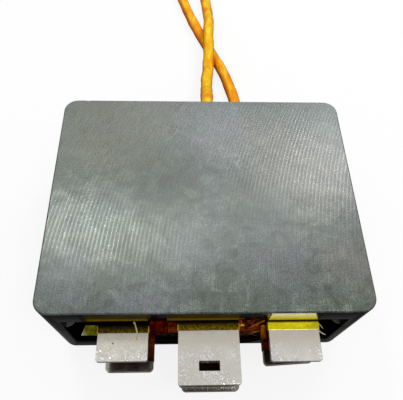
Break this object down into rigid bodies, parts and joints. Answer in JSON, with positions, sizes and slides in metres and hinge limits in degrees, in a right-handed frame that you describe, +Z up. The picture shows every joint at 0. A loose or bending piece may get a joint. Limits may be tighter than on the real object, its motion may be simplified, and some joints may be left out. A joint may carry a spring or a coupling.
{
  "type": "planar transformer",
  "caption": "Planar power transformer: ferrite core halves round stacked copper turns and litz coils, with flat tinned tabs at the front and taped litz leads at the back.",
  "frame": {"origin": "centre of the core's underside", "axes": "+Z up through the two core halves, -Y to the front where the tabs come out, +Y to the back where the leads come out, +X to the right"},
  "size_m": [0.064, 0.1553, 0.0266],
  "materials": {
    "ferrite": "ground satin",
    "tinned_copper": "matte tin plate",
    "polyimide_film": "glossy film",
    "polyimide_tape": "glossy tape",
    "wrapped_litz": "tape-wrapped",
    "lead_wrap": "tape-wrapped",
    "tinned_litz": "solder-dipped",
    "shim_film": "satin film"
  },
  "bodies": {
    "root": {"upper_core_half": "ferrite", "lower_core_half": "ferrite", "left_gap_shim": "shim_film", "right_gap_shim": "shim_film", "post_sleeve": "polyimide_film", "top_film": "polyimide_film", "upper_right_turn": "tinned_copper", "upper_turn_film": "polyimide_film", "upper_left_turn": "tinned_copper", "upper_coil_film": "polyimide_film", "upper_primary_coil": "wrapped_litz", "middle_film": "polyimide_film", "lower_right_turn": "tinned_copper", "lower_turn_film": "polyimide_film", "lower_left_turn": "tinned_copper", "lower_coil_film": "polyimide_film", "lower_primary_coil": "wrapped_litz", "upper_left_tape": "polyimide_tape", "upper_centre_tape": "polyimide_tape", "upper_right_tape": "polyimide_tape", "lower_left_tape": "polyimide_tape", "lower_centre_tape": "polyimide_tape", "lower_right_tape": "polyimide_tape", "left_face_tape": "polyimide_tape", "centre_face_tape": "polyimide_tape", "right_face_tape": "polyimide_tape", "left_gap_tape": "polyimide_tape", "right_gap_tape": "polyimide_tape", "upper_exit_patch": "polyimide_tape", "lower_exit_patch": "polyimide_tape", "left_lead": "lead_wrap", "right_lead": "lead_wrap", "left_lead_end": "tinned_litz", "right_lead_end": "tinned_litz"}
  },
  "joints": []
}
